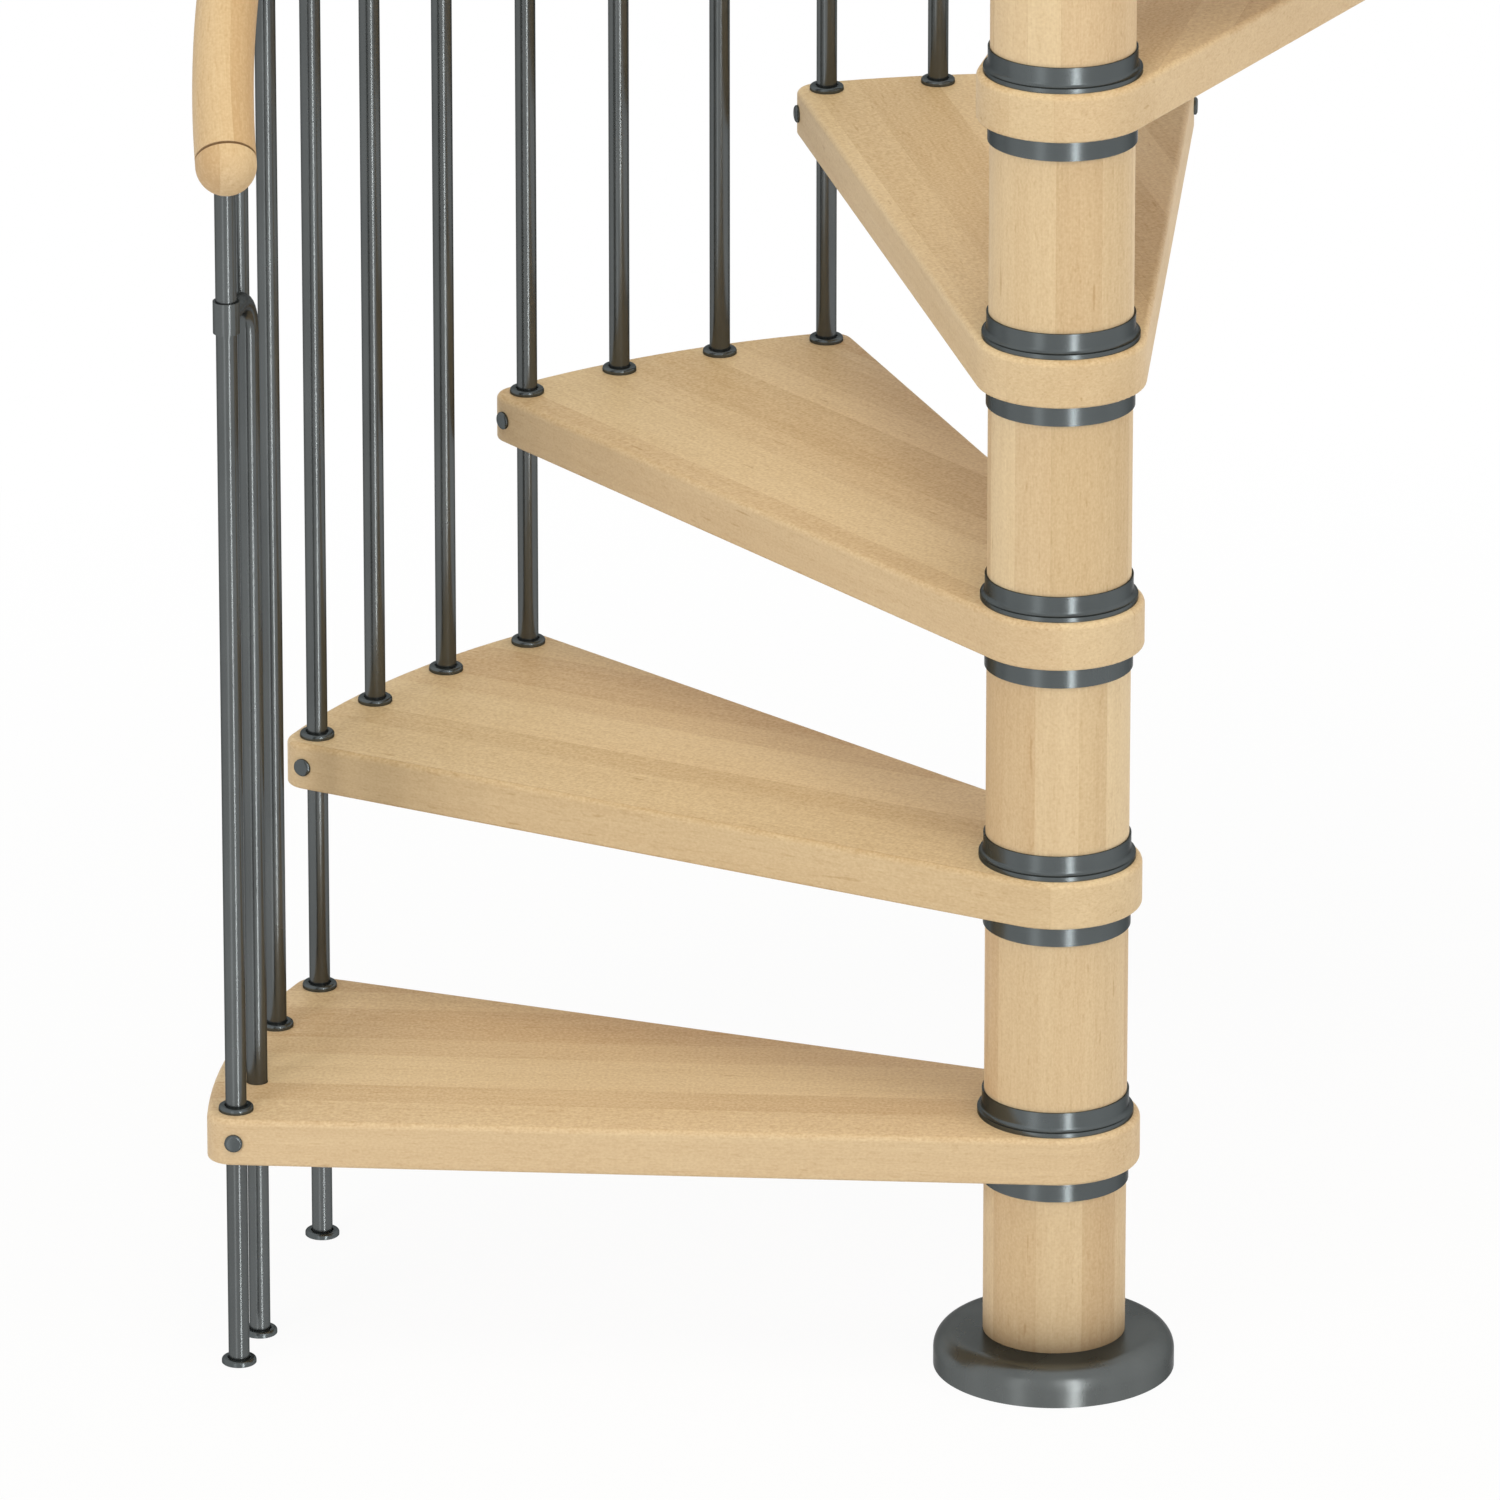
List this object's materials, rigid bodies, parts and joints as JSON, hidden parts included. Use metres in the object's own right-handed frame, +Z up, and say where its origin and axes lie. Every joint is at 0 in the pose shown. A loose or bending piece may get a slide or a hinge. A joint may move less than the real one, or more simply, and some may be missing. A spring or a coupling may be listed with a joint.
{
  "type": "spiral staircase",
  "caption": "Spiral stair of laminated wood treads and turned sleeves on a centre pole, with slim grey tube balusters and a round wood handrail.",
  "frame": {"origin": "on the pole's axis at floor level, in the middle of the base cover's underside", "axes": "+Z up along the pole; the first tread runs out to -X with its nosing towards -Y; the treads climb clockwise seen from above"},
  "size_m": [1.3137, 0.8428, 2.5568],
  "materials": {
    "beech": "satin",
    "grey_metal": "satin",
    "grey_moulding": "satin",
    "pole_steel": "satin"
  },
  "bodies": {
    "root": {"baluster_flanges": "grey_moulding", "balusters_1": "grey_metal", "balusters_2": "grey_metal", "balusters_3": "grey_metal", "balusters_4": "grey_metal", "balusters_5": "grey_metal", "balusters_6": "grey_metal", "base_cover": "grey_metal", "brace_collar": "grey_metal", "centre_pole": "pole_steel", "column_cap": "grey_moulding", "column_sleeve_1": "beech", "column_sleeve_2": "beech", "column_sleeve_3": "beech", "column_sleeve_4": "beech", "column_sleeve_5": "beech", "column_sleeve_6": "beech", "column_sleeve_7": "beech", "floor_flanges": "grey_moulding", "handrail": "beech", "handrail_end_caps": "beech", "lower_ring_1": "grey_moulding", "lower_ring_2": "grey_moulding", "lower_ring_3": "grey_moulding", "lower_ring_4": "grey_moulding", "lower_ring_5": "grey_moulding", "lower_ring_6": "grey_moulding", "rear_floor_post": "grey_metal", "screw_caps": "grey_moulding", "start_brace": "grey_metal", "tread_1": "beech", "tread_2": "beech", "tread_3": "beech", "tread_4": "beech", "tread_5": "beech", "tread_6": "beech", "upper_ring_1": "grey_moulding", "upper_ring_2": "grey_moulding", "upper_ring_3": "grey_moulding", "upper_ring_4": "grey_moulding", "upper_ring_5": "grey_moulding", "upper_ring_6": "grey_moulding"}
  },
  "joints": []
}
